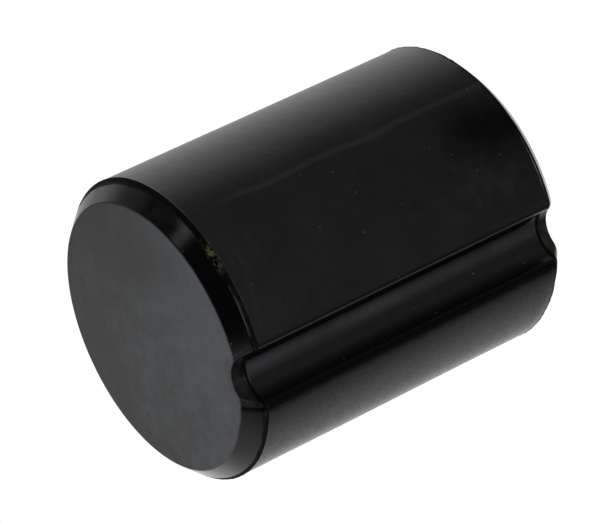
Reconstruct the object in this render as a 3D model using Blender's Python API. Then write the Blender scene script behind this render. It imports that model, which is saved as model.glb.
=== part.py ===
"""String dampener for a racket: one moulded rubber plug with a string groove along its side.

The plug lies on its side. Its axis runs along Y and its front face looks along -Y.
The string groove looks along +X and runs straight through both ends.
The origin is where a string holds the plug: halfway along the floor of the groove.
"""

import math

import bmesh
import bpy

# Driving dimensions, in metres.
BODY_DIAMETER = 0.0127
BODY_LENGTH = 0.0159

# Each end is bevelled: the depth is taken off the radius, the length runs along the axis.
FRONT_BEVEL_DEPTH = 0.00072
FRONT_BEVEL_LENGTH = 0.00078
BACK_BEVEL_DEPTH = 0.00066
BACK_BEVEL_LENGTH = 0.00055

# The groove has a round floor. Its depth is measured from the plug's round side, and across the
# front bevel the floor rises a little towards the face.
GROOVE_FLOOR_RADIUS = 0.00108
GROOVE_DEPTH = 0.00127
FRONT_FACE_GROOVE_DEPTH = 0.00112

# Rounding of the groove's two lips: along the plug's side, and at the edge of an end face.
SIDE_LIP_RADIUS = 0.00030
FACE_LIP_RADIUS = 0.00045

# Steps along each arc of the section.
ROUND_STEPS = 150
LIP_STEPS = 8
GROOVE_STEPS = 28

RUBBER_COLOUR = (0.018, 0.018, 0.020, 1.0)
RUBBER_ROUGHNESS = 0.42
SHARP_EDGE_ANGLE = math.radians(30)

BODY_RADIUS = BODY_DIAMETER / 2


def clear_scene():
    """Remove whatever the scene holds, so that the script can be run again."""
    for leftover in list(bpy.data.objects):
        bpy.data.objects.remove(leftover, do_unlink=True)


def rubber_material():
    """Black moulded rubber with a half gloss."""
    material = bpy.data.materials.new("rubber")
    material.use_nodes = True
    material.diffuse_color = RUBBER_COLOUR
    shader = material.node_tree.nodes["Principled BSDF"]
    shader.inputs["Base Color"].default_value = RUBBER_COLOUR
    shader.inputs["Roughness"].default_value = RUBBER_ROUGHNESS
    shader.inputs["Metallic"].default_value = 0.0
    return material


def arc(centre_x, centre_z, radius, start, end, steps):
    """Points (x, z) along an arc, from the start angle up to just before the end angle."""
    angles = (start + (end - start) * step / steps for step in range(steps))
    return [(centre_x + radius * math.cos(a), centre_z + radius * math.sin(a)) for a in angles]


def grooved_section(radius, lip_radius, groove_depth):
    """Outline of a round section with the groove on its +X side, anticlockwise.

    A lip is an arc that touches the round outline from inside and the groove's floor from
    outside. Its centre lies where a circle about the section's middle meets one about the
    groove's centre.
    """
    groove_centre = BODY_RADIUS - groove_depth + GROOVE_FLOOR_RADIUS
    from_middle = radius - lip_radius
    from_groove = GROOVE_FLOOR_RADIUS + lip_radius
    lip_angle = math.acos((groove_centre ** 2 + from_middle ** 2 - from_groove ** 2)
                          / (2 * groove_centre * from_middle))
    lip_x = from_middle * math.cos(lip_angle)
    lip_z = from_middle * math.sin(lip_angle)
    wall_angle = math.atan2(lip_z, groove_centre - lip_x)

    round_side = arc(0, 0, radius, lip_angle, 2 * math.pi - lip_angle, ROUND_STEPS)
    lower_lip = arc(lip_x, -lip_z, lip_radius, -lip_angle, wall_angle, LIP_STEPS)
    groove = arc(groove_centre, 0, GROOVE_FLOOR_RADIUS,
                 math.pi + wall_angle, math.pi - wall_angle, GROOVE_STEPS)
    upper_lip = arc(lip_x, lip_z, lip_radius, -wall_angle, lip_angle, LIP_STEPS)
    return round_side + lower_lip + groove + upper_lip


def loft(name, stations):
    """Closed mesh through sections with equal point counts, given as (y, outline) from the front."""
    shape = bmesh.new()
    rings = [[shape.verts.new((x, y, z)) for x, z in outline] for y, outline in stations]
    for front, back in zip(rings, rings[1:]):
        for i in range(len(front)):
            shape.faces.new((front[i - 1], back[i - 1], back[i], front[i]))
    shape.faces.new(rings[0])
    shape.faces.new(reversed(rings[-1]))
    mesh = bpy.data.meshes.new(name)
    shape.to_mesh(mesh)
    shape.free()
    return mesh


def dampener_body():
    """The rubber plug: a round bar with bevelled ends and a groove that runs through both."""
    front_end = -BODY_LENGTH / 2
    back_end = BODY_LENGTH / 2
    front_radius = BODY_RADIUS - FRONT_BEVEL_DEPTH
    back_radius = BODY_RADIUS - BACK_BEVEL_DEPTH
    side_section = grooved_section(BODY_RADIUS, SIDE_LIP_RADIUS, GROOVE_DEPTH)
    stations = [
        (front_end, grooved_section(front_radius, FACE_LIP_RADIUS, FRONT_FACE_GROOVE_DEPTH)),
        (front_end + FRONT_BEVEL_LENGTH, side_section),
        (back_end - BACK_BEVEL_LENGTH, side_section),
        (back_end, grooved_section(back_radius, FACE_LIP_RADIUS, GROOVE_DEPTH)),
    ]
    mesh = loft("dampener_body", stations)
    mesh.shade_smooth()
    mesh.set_sharp_from_angle(angle=SHARP_EDGE_ANGLE)
    mesh.materials.append(rubber_material())
    body = bpy.data.objects.new("dampener_body", mesh)
    body.location = (GROOVE_DEPTH - BODY_RADIUS, 0, 0)
    return body


clear_scene()
dampener = bpy.data.collections.new("vibration_dampener")
bpy.context.scene.collection.children.link(dampener)
dampener.objects.link(dampener_body())
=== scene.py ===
"""A racket string dampener: one black rubber plug, bevelled at both ends, with a string groove.

The plug lies on a white sheet with its groove to one side. Lengths are in metres, in the frame
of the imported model, unless a name or a comment says millimetres.
"""

import math
from types import SimpleNamespace

import bmesh
import bpy
from mathutils import Matrix, Vector, noise


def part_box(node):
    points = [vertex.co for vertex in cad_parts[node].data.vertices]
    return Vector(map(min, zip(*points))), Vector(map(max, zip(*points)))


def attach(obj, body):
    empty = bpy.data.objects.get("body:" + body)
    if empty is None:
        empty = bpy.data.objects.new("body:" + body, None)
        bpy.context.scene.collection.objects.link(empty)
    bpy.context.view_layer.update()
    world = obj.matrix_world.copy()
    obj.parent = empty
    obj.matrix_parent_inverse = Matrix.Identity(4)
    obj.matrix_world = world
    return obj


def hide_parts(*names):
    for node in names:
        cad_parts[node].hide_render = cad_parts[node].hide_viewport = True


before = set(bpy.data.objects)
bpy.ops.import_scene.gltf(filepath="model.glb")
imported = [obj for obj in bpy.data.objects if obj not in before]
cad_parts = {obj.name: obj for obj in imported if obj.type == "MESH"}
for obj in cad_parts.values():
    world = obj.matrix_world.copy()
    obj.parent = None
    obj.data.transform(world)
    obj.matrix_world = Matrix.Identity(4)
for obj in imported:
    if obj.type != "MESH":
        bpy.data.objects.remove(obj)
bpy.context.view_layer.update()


# ---------------------------------------------------------------------------------------------
# Rubber plug
# One solid moulding of black rubber, pressed in a barrel with a raised rib, between two end
# plates. The plates leave the bevels and the matte faces, and the rib leaves the string groove.
# Where plate and barrel met, a fine crease and a thin, torn flash of rubber run round each rim.

MM = 0.001
plug_low, plug_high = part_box("dampener_body")

# Sizes of the plug's form, in millimetres.
RADIUS = (plug_high.z - plug_low.z) / 2 / MM
LENGTH = (plug_high.y - plug_low.y) / MM
FRONT_BEVEL = {"depth": 0.72, "length": 0.78}
BACK_BEVEL = {"depth": 0.66, "length": 0.55}
RIM_EASE = 0.022
GROOVE_FLOOR_RADIUS = 1.08
GROOVE_DEPTH = 1.27
FRONT_FACE_GROOVE_DEPTH = 1.12
SIDE_LIP = 0.30
FACE_LIP = 0.45
AXIS = Vector((plug_low.x + RADIUS * MM, plug_low.y, (plug_low.z + plug_high.z) / 2))

# How finely the plug is meshed, round its section and along its side.
ROUND_STEPS = 330
LIP_STEPS = 12
GROOVE_STEPS = 36
SIDE_RINGS = 66
RING_POINTS = ROUND_STEPS + 2 * LIP_STEPS + GROOVE_STEPS

# The moulding's own marks, in millimetres.
WAVE_HEIGHT = 0.010
CREASE_DEPTH = 0.085
CREASE_WIDTH = 0.042
FLASH_HEIGHT = 0.020
FLASH_WIDTH = 0.028
TORN_FLASH_HEIGHT = 0.14
TORN_FLASH_PLACE = 5.45


def arc(centre, radius, start, end, steps):
    """Points along an arc, from the start angle up to just before the end angle."""
    turns = [start + (end - start) * step / steps for step in range(steps)]
    return [(centre[0] + radius * math.cos(t), centre[1] + radius * math.sin(t)) for t in turns]


def section(radius, lip, groove_depth):
    """Outline of the plug's section about its axis: a round side with the groove towards +X."""
    groove_centre = RADIUS - groove_depth + GROOVE_FLOOR_RADIUS
    from_axis = radius - lip
    from_groove = GROOVE_FLOOR_RADIUS + lip
    cosine = (groove_centre ** 2 + from_axis ** 2 - from_groove ** 2) / (2 * groove_centre * from_axis)
    turn = math.acos(cosine)
    lip_x, lip_z = from_axis * cosine, from_axis * math.sin(turn)
    wall = math.atan2(lip_z, groove_centre - lip_x)
    return (
        arc((0, 0), radius, turn, 2 * math.pi - turn, ROUND_STEPS)
        + arc((lip_x, -lip_z), lip, -turn, wall, LIP_STEPS)
        + arc((groove_centre, 0), GROOVE_FLOOR_RADIUS, math.pi + wall, math.pi - wall, GROOVE_STEPS)
        + arc((lip_x, lip_z), lip, -wall, turn, LIP_STEPS)
    )


def inset(bevel, y):
    """How far the bevel draws the outline in, at y from its end, eased off towards the rim."""
    beyond = (bevel["length"] - y) / RIM_EASE
    return bevel["depth"] / bevel["length"] * RIM_EASE * math.log1p(math.exp(beyond))


def end_rings(bevel, face_groove_depth):
    """Rings from the middle of an end face to just past the rim: (share, y, outline) each."""
    face_shares = [0.04, 0.12, 0.25, 0.4, 0.55, 0.7, 0.82, 0.91, 0.965, 0.99]
    face_edge = [(0.040, 0.0), (0.018, 0.003), (0.005, 0.011), (0.0, 0.030)]
    rim = bevel["length"]
    slope = [0.08 + (rim - 0.30) * step / 8 for step in range(9)]
    round_rim = [rim - 0.20 + 0.02 * step for step in range(23)]
    past_rim = [rim + reach for reach in (0.30, 0.38, 0.50, 0.70)]
    stations = [(share, face_edge[0][0], 0.0) for share in face_shares]
    stations += [(1.0, extra, y) for extra, y in face_edge]
    stations += [(1.0, 0.0, y) for y in slope + round_rim + past_rim]
    rings = []
    for share, extra, y in stations:
        towards_face = max(0.0, 1 - y / rim)
        lip = SIDE_LIP + (FACE_LIP - SIDE_LIP) * towards_face
        depth = GROOVE_DEPTH + (face_groove_depth - GROOVE_DEPTH) * towards_face
        rings.append((share, y, section(RADIUS - inset(bevel, y) - extra, lip, depth)))
    return rings


def hump(distance, width):
    """A bell from 1 at the middle to nothing a couple of widths away."""
    return math.exp(-(distance / width) ** 2)


def ripple(seed, *place):
    """Smooth noise from about -1 to 1 at a place given by up to two numbers."""
    return noise.noise(Vector((place[0], place[-1] if len(place) > 1 else 0.0, seed)))


def parting_line(around, off_rim, seed, rough):
    """Height of the crease and the flash along a rim, off_rim being the way in from the rim.

    Around is the place along the rim in millimetres. A rough rim wanders and stands higher.
    The groove keeps the crease alone, because the string wears the flash away there.
    """
    wander = 0.05 * ripple(seed, around * 1.1) + 0.035 * ripple(seed + 7, around * 3.1)
    off_line = off_rim - rough * wander
    in_groove = hump(around, 1.25) ** 0.5
    crease_depth = CREASE_DEPTH + 0.05 * in_groove
    crease = -crease_depth * hump(off_line + 0.055, CREASE_WIDTH + 0.018 * in_groove)
    flash = FLASH_HEIGHT + 0.025 * rough * abs(ripple(seed + 3, around * 2.2))
    flash += 0.008 * ripple(seed + 5, around * 5)
    return crease + flash * (1 - in_groove) * hump(off_line - 0.035, FLASH_WIDTH)


def torn_flash(around, off_rim):
    """Shreds of flash left standing over the front bevel, on one short stretch of the rim."""
    along = hump(around - TORN_FLASH_PLACE, 0.62)
    ragged = max(0.0, ripple(31, around * 5, off_rim * 9) + 0.15)
    return TORN_FLASH_HEIGHT * along * ragged * hump(off_rim + 0.07, 0.09)


def relief(turn, y):
    """Height of the rubber over its plain form, at an angle about the axis and y from the front."""
    around = turn * RADIUS
    from_front_rim = y - FRONT_BEVEL["length"]
    from_back_rim = LENGTH - BACK_BEVEL["length"] - y
    height = WAVE_HEIGHT * ripple(11, around * 0.35, y * 0.22)
    height += 0.3 * WAVE_HEIGHT * ripple(13, around * 1.1, y * 0.8)
    height *= min(1.0, max(0.0, y / 0.5)) * min(1.0, max(0.0, (LENGTH - y) / 0.4))
    if abs(from_front_rim) < 0.4:
        height += parting_line(around, from_front_rim, 17, 0.35) + torn_flash(around, from_front_rim)
    if abs(from_back_rim) < 0.4:
        height += parting_line(around, from_back_rim, 23, 1.0)
    low_rim_worn = hump(turn + 0.62, 0.28) * hump(max(0.0, from_back_rim), 0.30)
    full_back_bevel = hump(turn - 0.80, 0.55) * min(1.0, max(0.0, -from_back_rim / 0.4))
    return height - 0.06 * low_rim_worn + 0.07 * full_back_bevel


def plug_rings():
    """Every ring of the plug from its front face's middle to its back face's, y in millimetres."""
    front = end_rings(FRONT_BEVEL, FRONT_FACE_GROOVE_DEPTH)
    back = [(share, LENGTH - y, outline) for share, y, outline in end_rings(BACK_BEVEL, GROOVE_DEPTH)]
    first, last = front[-1][1], back[-1][1]
    side = section(RADIUS, SIDE_LIP, GROOVE_DEPTH)
    ring_gap = (last - first) / SIDE_RINGS
    middle = [(1.0, first + ring_gap * step, side) for step in range(1, SIDE_RINGS)]
    rings = []
    for share, y, outline in front + middle + back[::-1]:
        ring = []
        for i, (x, z) in enumerate(outline):
            (x_before, z_before), (x_after, z_after) = outline[i - 1], outline[(i + 1) % RING_POINTS]
            out = Vector((z_after - z_before, 0, x_before - x_after)).normalized()
            point = Vector((x, 0, z)) + out * relief(math.atan2(z, x), y)
            ring.append(AXIS + Vector((share * point.x, y, share * point.z)) * MM)
        rings.append(ring)
    return rings


def place_ring(plug, ring):
    """Put the selected ring of vertices on its places, and leave it selected."""
    form = bmesh.from_edit_mesh(plug.data)
    number = form.verts.layers.int["ring_number"]
    for vertex in form.verts:
        if vertex.select:
            vertex.co = ring[vertex[number]]


def make_plug():
    """Draw one ring, extrude it ring by ring along the plug, and close both ends."""
    rings = plug_rings()
    bpy.ops.object.select_all(action="DESELECT")
    bpy.ops.mesh.primitive_circle_add(vertices=RING_POINTS, radius=RADIUS * MM)
    plug = bpy.context.object
    plug.name = plug.data.name = "rubber_plug"
    bpy.ops.object.mode_set(mode="EDIT")
    form = bmesh.from_edit_mesh(plug.data)
    number = form.verts.layers.int.new("ring_number")
    for i, vertex in enumerate(form.verts):
        vertex[number] = i
    place_ring(plug, rings[0])
    bpy.ops.mesh.select_all(action="SELECT")
    bpy.ops.mesh.edge_face_add()
    bpy.ops.mesh.select_mode(type="EDGE")
    for ring in rings[1:]:
        form = bmesh.from_edit_mesh(plug.data)
        last_ring = [edge for edge in form.edges if edge.select]
        bpy.ops.mesh.select_all(action="DESELECT")
        for edge in last_ring:
            edge.select = True
        bpy.ops.mesh.extrude_edges_move()
        place_ring(plug, ring)
    bpy.ops.mesh.edge_face_add()
    bpy.ops.mesh.select_all(action="SELECT")
    bpy.ops.mesh.normals_make_consistent(inside=False)
    bpy.ops.object.mode_set(mode="OBJECT")
    plug.data.attributes.remove(plug.data.attributes["ring_number"])
    plug.data.shade_smooth()
    return plug


class Wire:
    """An output of a shader node. A sum written on it in Python adds the Math nodes it needs."""

    def __init__(self, tree, socket=None):
        self.tree = tree
        self.socket = socket

    def add(self, kind, settings, sockets, output=0):
        """Add a node: its settings are set first, then the value or the link of each socket."""
        node = self.tree.nodes.new("ShaderNode" + kind)
        for name, value in settings.items():
            setattr(node, name, value)
        for name, value in sockets.items():
            if isinstance(value, Wire):
                self.tree.links.new(value.socket, node.inputs[name])
            else:
                node.inputs[name].default_value = value
        return Wire(self.tree, node.outputs[output])

    def feed(self, node, name):
        """Link this wire to a socket of a node that is already there."""
        self.tree.links.new(self.socket, node.inputs[name])

    def math(self, operation, *values):
        return self.add("Math", {"operation": operation}, dict(enumerate(values)))

    def at_least(self, value):
        return self.math("MAXIMUM", self, value)

    def size(self):
        return self.math("ABSOLUTE", self)

    def __add__(self, other):
        return self.math("ADD", self, other)

    def __radd__(self, other):
        return self.math("ADD", other, self)

    def __sub__(self, other):
        return self.math("SUBTRACT", self, other)

    def __rsub__(self, other):
        return self.math("SUBTRACT", other, self)

    def __mul__(self, other):
        return self.math("MULTIPLY", self, other)

    def __rmul__(self, other):
        return self.math("MULTIPLY", other, self)

    def split(self):
        """The three parts of a vector."""
        first = self.add("SeparateXYZ", {}, {0: self})
        return [Wire(self.tree, part) for part in first.socket.node.outputs]

    def rise(self, start, end):
        """A smooth rise from 0 at the start value to 1 at the end value, which may be lower."""
        low, high = min(start, end), max(start, end)
        step = self.add("MapRange", {"interpolation_type": "SMOOTHSTEP"}, {0: self, 1: low, 2: high})
        return step if start < end else 1 - step

    def band(self, middle, width):
        """1 at the middle value, falling to 0 a width away on both sides."""
        return (self - middle).size().rise(width, 0)

    def mix(self, low, high):
        """The colour that lies between two colours as this value lies between 0 and 1."""
        return self.add("Mix", {"data_type": "RGBA"}, {0: self, 6: low, 7: high}, output=2)

    def vector(self, a, b, c):
        return self.add("CombineXYZ", {}, {0: a, 1: b, 2: c})

    def grain(self, place, scale, detail=2.0, roughness=0.5):
        """Smooth noise from 0 to 1, with a scale in features per millimetre."""
        values = {"Vector": place, "Scale": scale, "Detail": detail, "Roughness": roughness}
        return self.add("TexNoise", {}, values)


# The rubber's colours, clean and where something lies on it or it is torn.
CLEAN = (0, 0, 0, 1)
# The side's haze tint is also the colour of the painted highlight streak.
SIDE_HAZE_AND_SHEEN = (1.0, 1.0, 1.02, 1)
FACE_BLOOM = (0.82, 0.97, 1.20, 1)
GROOVE_FILM = (1.0, 1.0, 1.0, 1)
BLUISH_FILM = (0.94, 0.97, 1.12, 1)
SCUFFED = (1.0, 0.95, 0.80, 1)
GRIME = (0.026, 0.026, 0.025, 1)
CHALK = (0.046, 0.047, 0.036, 1)
CUT_BLACK = (0.003, 0.003, 0.002, 1)
CUT_OLIVE = (0.008, 0.007, 0.003, 1)
TORN = (0.15, 0.15, 0.075, 1)
DUST = (0.16, 0.16, 0.15, 1)
SKIN_IOR = 1.40
OPEN_RUBBER_IOR = 1.12

# Places of single marks, in millimetres round the plug from the middle of the groove.
# The painted highlight streak runs along the side at this place.
HIGHLIGHT_STREAK_PLACE = 7.35
SCUFF_PLACE = 7.1


def plug_surface(wire):
    """All that the rubber's marks are drawn from: places on the plug, moulded zones and noises."""
    on = SimpleNamespace(wire=wire)

    # Place on the plug in millimetres: from the axis, around it, along it, and past each rim.
    metres = wire.add("TexCoord", {}, {}, output=3)
    centred = wire.add("VectorMath", {"operation": "SUBTRACT"}, {0: metres, 1: AXIS})
    on.spot = wire.add("VectorMath", {"operation": "SCALE"}, {0: centred, "Scale": 1 / MM})
    on.x, on.y, on.z = on.spot.split()
    from_back = LENGTH - on.y
    on.past_front_rim = on.y - FRONT_BEVEL["length"]
    on.past_back_rim = from_back - BACK_BEVEL["length"]
    off_centre = on.x - (RADIUS - GROOVE_DEPTH + GROOVE_FLOOR_RADIUS)
    on.from_groove = wire.math("SQRT", off_centre * off_centre + on.z * on.z)
    on.around = wire.math("ARCTAN2", on.z, on.x) * RADIUS

    # The moulded zones.
    on.face = on.y.rise(0.035, 0.015) + from_back.rise(0.035, 0.015)
    off_front_bevel = on.past_front_rim.rise(-0.02, 0.08)
    off_back_bevel = on.past_back_rim.rise(-0.05, 0.09)
    on.front_bevel = (1 - off_front_bevel) * (1 - on.face)
    on.back_bevel = (1 - off_back_bevel) * (1 - on.face)
    on.groove = on.from_groove.rise(GROOVE_FLOOR_RADIUS + 0.26, GROOVE_FLOOR_RADIUS + 0.14)
    on.barrel = off_front_bevel * off_back_bevel
    on.side = on.barrel * (1 - on.groove)

    # Noises: soft clouds, mottling, fine grain, and lines round and along the plug.
    on.cloud = wire.grain(on.spot, 0.45, 3.0)
    on.mottle = wire.grain(on.spot, 1.5, 4.0, 0.6)
    on.fine = wire.grain(on.spot, 14.0, 2.0)
    round_lines = wire.vector(on.around * 0.5, on.y * 7.0 + on.cloud * 6.0, 0.0)
    on.hoops = wire.grain(round_lines, 1.0, 3.0, 0.6)
    long_lines = wire.vector(on.around * 6.0, on.y * 0.5 + on.cloud * 2.0, 3.0)
    on.runs = wire.grain(long_lines, 1.0, 3.0, 0.6)
    specks = wire.add("TexVoronoi", {}, {"Vector": on.spot, "Scale": 1.7, "Randomness": 1.0})
    on.dust = (specks + 0.06 * on.fine).rise(0.095, 0.055)
    return on


def side_haze_and_painted_light(on):
    """Side haze from rubber bloom and handling, thinner towards the back, with a painted highlight streak
    and painted lip shade.
    """
    rubbed = on.y.rise(4.5, 0.8) * on.around.band(3.4, 3.4) * on.hoops.rise(0.48, 0.72)
    worn_back = on.y.band(12.6, 3.2) * on.around.band(3.3, 1.8) * on.mottle.rise(0.4, 0.7)
    clean_back = on.y.rise(10.5, 14.2) * on.around.band(5.2, 2.1)
    haze = 0.016 + 0.016 * on.cloud + 0.013 * rubbed + 0.010 * worn_back - 0.017 * clean_back
    haze = haze - 0.0006 * on.y + 0.003 * (on.hoops - 0.5) + 0.004 * on.runs.rise(0.6, 0.85)
    haze = haze + 0.010 * (on.fine + on.mottle - 1.0)
    # A lighter line along the side: a painted highlight streak, not a seam.
    highlight_streak = (on.around + 0.5 * on.cloud).band(HIGHLIGHT_STREAK_PLACE, 0.24) * on.y.rise(1.0, 4.0)
    # Painted shade: the haze thins in bands along both lips of the groove.
    lower_lip_shade = on.z.rise(0.0, -0.5) * on.from_groove.rise(1.80, 1.50)
    upper_lip_shade = on.z.rise(0.0, 0.5) * on.from_groove.rise(1.48, 1.36)
    return (haze + 0.018 * highlight_streak) * (1 - 0.9 * lower_lip_shade - 0.5 * upper_lip_shade)


def face_bloom(on):
    """Bloom on the end faces, mottled, thinner away from the groove and where a finger was."""
    off_smudge = (on.x + 0.8) * (on.x + 0.8) * 0.5 + (on.z - 4.2) * (on.z - 4.2)
    smudge = off_smudge.rise(9.0, 1.0) * (0.5 + 0.5 * on.mottle.rise(0.4, 0.65))
    bloom = 0.002 + 0.034 * on.mottle.rise(0.3, 0.7) + 0.022 * on.cloud.rise(0.3, 0.7)
    return (bloom - 0.05 * smudge + 0.0065 * on.x + 0.003 * on.z).at_least(0.001)


def rim_cut(on):
    """The dull band at each rim, where the flash was trimmed. It widens over the front's top."""
    width = 0.08 + 0.16 * on.around.rise(6.0, 11.0) - 0.10 * (on.mottle - 0.5)
    front = (on.past_front_rim + width).rise(0.0, 0.07) * on.past_front_rim.rise(0.07, 0.02)
    back = on.past_back_rim.rise(-0.21, -0.11) * on.past_back_rim.rise(0.07, 0.02)
    return front + back


def rubber_colour(on, cut):
    """Black rubber, then what lies on it: haze, films, scuffs, grime, torn flash and dust, and painted
    light in the haze.
    """
    wire = on.wire
    # The side's haze holds a painted highlight streak and painted shade along the groove's lips.
    haze = 0.0012 + on.side * side_haze_and_painted_light(on) + on.face * face_bloom(on)
    colour = haze.mix(CLEAN, on.face.mix(SIDE_HAZE_AND_SHEEN, FACE_BLOOM))

    # The groove's floor carries a film, bluish along its middle. Its two walls are clean.
    film = on.z.rise(-1.2, -0.8) * on.z.rise(0.44, 0.28) * (0.014 + 0.010 * on.mottle)
    colour = (on.barrel * on.groove * film).mix(colour, GROOVE_FILM)
    patches = wire.grain(wire.vector(on.y * 0.35, 0.0, 9.0), 1.0).rise(0.3, 0.7)
    bluish = on.z.band(-0.04, 0.5) * on.z.rise(0.40, 0.20) * (0.036 + 0.022 * patches - on.y * 0.0012)
    colour = (on.barrel * on.groove * bluish).mix(colour, BLUISH_FILM)

    scuff = on.around.band(SCUFF_PLACE, 0.8) * on.past_front_rim.band(-0.26, 0.20)
    scuff = scuff * on.fine.rise(0.35, 0.6)
    colour = (0.06 * scuff).mix(colour, SCUFFED)
    grime = on.front_bevel * (on.groove + 0.5 * on.around.rise(6.0, 8.5)) * on.mottle.rise(0.25, 0.6)
    colour = grime.mix(colour, GRIME)
    chalk = on.back_bevel * (0.15 + 0.85 * on.around.band(0, 3.5)) * on.mottle.rise(0.25, 0.65)
    colour = chalk.mix(colour, CHALK)
    cut_colour = on.around.rise(4.0, 8.0).mix(CUT_BLACK, CUT_OLIVE)
    colour = (cut * (0.4 + 0.6 * on.mottle)).mix(colour, cut_colour)
    shreds = wire.grain(on.spot, 5.0, 4.0, 0.7).rise(0.48, 0.58)
    torn = on.around.band(TORN_FLASH_PLACE - 0.20, 1.1) * on.past_front_rim.band(-0.06, 0.22) * shreds
    colour = torn.mix(colour, TORN)
    return (on.dust * on.cloud.rise(0.3, 0.7)).mix(colour, DUST)


def rubber_roughness(on, cut):
    """Glossy on the bevels and in the groove, less so on the side, and matte on the faces."""
    rough = 0.15 + 0.33 * on.face + 0.09 * on.side + 0.05 * on.groove + 0.30 * cut
    rough = rough + 0.04 * on.side * (on.hoops - 0.5) + 0.08 * on.face * (on.mottle - 0.5)
    return rough + 0.3 * on.dust


def rubber_grain(on, cut):
    """The fine grain that the mould left, as a normal. Its heights are in millimetres."""
    height = on.fine * (0.0016 * on.face + 0.0042 * on.side + 0.006 * cut) + 0.010 * on.mottle * on.side
    height = height + 0.0006 * on.hoops * on.side + 0.0005 * on.runs * on.side + 0.010 * on.dust
    return on.wire.add("Bump", {}, {"Strength": 1.0, "Distance": MM, "Height": height})


def rubber_material():
    """Black moulded rubber: a shiny skin, and open, dull rubber at the rims and worn places."""
    material = bpy.data.materials.new("moulded_rubber")
    material.use_nodes = True
    nodes = material.node_tree.nodes
    nodes.remove(nodes["Principled BSDF"])
    wire = Wire(material.node_tree)
    on = plug_surface(wire)
    cut = rim_cut(on)
    both = {"Base Color": rubber_colour(on, cut), "Normal": rubber_grain(on, cut)}
    skin = wire.add("BsdfPrincipled", {}, both | {"Roughness": rubber_roughness(on, cut), "IOR": SKIN_IOR})
    open_rubber = wire.add("BsdfPrincipled", {}, both | {"Roughness": 0.7, "IOR": OPEN_RUBBER_IOR})

    worn_lip = on.front_bevel * on.from_groove.rise(1.60, 1.35) * on.z.rise(-0.30, -0.70)
    pits = wire.grain(on.spot, 7.0, 3.0, 0.7).rise(0.42, 0.72)
    worn_low_side = on.side * on.z.rise(-1.2, -2.2) * pits
    openness = (cut * (0.75 + 0.25 * on.cloud)).at_least(0.85 * worn_lip).at_least(0.30 * worn_low_side)
    rubber = wire.add("MixShader", {}, {0: openness, 1: skin, 2: open_rubber})
    rubber.feed(nodes["Material Output"], "Surface")
    return material


plug = make_plug()
plug.data.materials.append(rubber_material())
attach(plug, "root")
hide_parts("dampener_body")


# ---------------------------------------------------------------------------------------------
# White sheet
# The plain white sheet that the plug lies on. It lights the plug from below. Its glow is weaker
# to the plug's right in a painted shadow of the plug, and far out on both sides.

SHEET_SIZE = 1.2
SHEET_WHITE = 1.05
DIMMEST_GLOW = 0.04

bpy.ops.object.select_all(action="DESELECT")
bpy.ops.mesh.primitive_plane_add(size=SHEET_SIZE, location=(AXIS.x, 0, plug_low.z))
sheet = bpy.context.object
sheet.name = sheet.data.name = "white_sheet"


def paper_material():
    """Glowing paper, plain white to look at, with an uneven glow on the plug that holds a painted shadow
    of it.
    """
    material = bpy.data.materials.new("white_paper")
    material.use_nodes = True
    nodes = material.node_tree.nodes
    nodes.remove(nodes["Principled BSDF"])
    wire = Wire(material.node_tree)
    x, y, _ = wire.add("TexCoord", {}, {}, output=3).split()
    # Painted shadow of the plug: the glow dims under its overhang and beside it.
    plug_shadow_under = x.rise(2.0 * MM, 4.2 * MM)
    plug_shadow_beside = x.rise(5.5 * MM, 10.5 * MM)
    near = (y.rise(-22 * MM, -9 * MM) + 0.15 * y.rise(2 * MM, 14 * MM)) * y.rise(30 * MM, 16 * MM)
    far_left = x.rise(-18 * MM, -36 * MM)
    far_right = x.rise(20 * MM, 60 * MM)
    glow = 1.0 - 0.38 * plug_shadow_under - plug_shadow_beside * (0.10 + 0.47 * near) - 0.38 * far_left - 0.42 * far_right
    on_plug = wire.add("Emission", {}, {"Color": glow.at_least(DIMMEST_GLOW), "Strength": 1.0})
    to_look_at = wire.add("Emission", {}, {"Color": (1, 1, 1, 1), "Strength": SHEET_WHITE})
    looked_at = wire.add("LightPath", {}, {})
    paper = wire.add("MixShader", {}, {0: looked_at, 1: on_plug, 2: to_look_at})
    paper.feed(nodes["Material Output"], "Surface")
    return material


sheet.data.materials.append(paper_material())


# ---------------------------------------------------------------------------------------------
# Studio
# A dark studio with a large, soft, white wall of light to the rear left, a card behind and one
# to the left, a dim ceiling, and two small lamps in front and to the right.

# How bright each of them is.
ROOM = 0.035
WALL = 0.78
CEILING = 0.05
LEFT_CARD = 0.20
REAR_CARD = 0.35
FRONT_LAMP = 1.0
RIGHT_LAMP = 3.3

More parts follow.
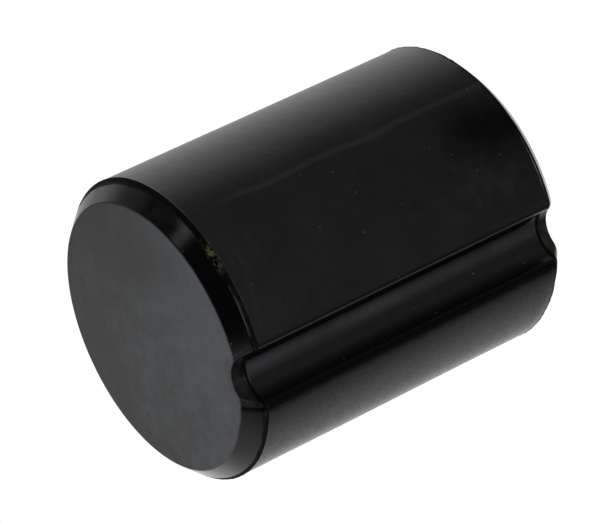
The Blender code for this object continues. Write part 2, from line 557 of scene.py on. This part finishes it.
world = bpy.data.worlds.new("studio")
world.use_nodes = True
bpy.context.scene.world = world
wire = Wire(world.node_tree)
x, y, z = wire.add("TexCoord", {}, {}, output=0).split()
wall = (x * -0.83 + y * 0.56).rise(0.46, 0.94) * (1 - 0.30 * z.rise(0.20, -0.15))
ceiling = z.rise(0.3, 0.8) * (0.35 + 0.65 * y.rise(-0.8, 0.3))
left_card = (x * -0.90 - y * 0.36 + z * 0.25).rise(0.87, 0.98)
rear_card = y.rise(0.72, 0.95)
front_lamp = (x * -0.14 - y * 0.71 + z * 0.69).rise(0.9955, 0.9985)
right_lamp = (x * 0.95 - y * 0.10 + z * 0.30).rise(0.92, 0.98)
cards = WALL * wall + CEILING * ceiling + LEFT_CARD * left_card + REAR_CARD * rear_card
strength = ROOM + cards + FRONT_LAMP * front_lamp + RIGHT_LAMP * right_lamp
background = world.node_tree.nodes["Background"]
background.inputs["Color"].default_value = (1, 1, 1, 1)
strength.feed(background, "Strength")


# ---------------------------------------------------------------------------------------------
# Camera
# It looks down on the plug from the front right, and is turned a little about its own view.

CAMERA_AZIMUTH = math.radians(56.438)
CAMERA_ELEVATION = math.radians(26.508)
CAMERA_ROLL = math.radians(-8.965)
CAMERA_DISTANCE = 164.43 * MM
CAMERA_LENS = 243.95
CAMERA_SENSOR = 36
CAMERA_TARGET = AXIS + Vector((-0.166, LENGTH / 2 - 0.243, 0.008)) * MM

away = Vector((
    math.sin(CAMERA_AZIMUTH) * math.cos(CAMERA_ELEVATION),
    -math.cos(CAMERA_AZIMUTH) * math.cos(CAMERA_ELEVATION),
    math.sin(CAMERA_ELEVATION),
))
camera_data = bpy.data.cameras.new("camera")
camera_data.lens = CAMERA_LENS
camera_data.sensor_width = CAMERA_SENSOR
camera_data.clip_start = 10 * MM
camera = bpy.data.objects.new("camera", camera_data)
bpy.context.scene.collection.objects.link(camera)
facing = away.to_track_quat("Z", "Y").to_matrix().to_4x4() @ Matrix.Rotation(CAMERA_ROLL, 4, "Z")
camera.matrix_world = Matrix.Translation(CAMERA_TARGET + away * CAMERA_DISTANCE) @ facing
bpy.context.scene.camera = camera
bpy.context.scene.view_settings.view_transform = "Standard"
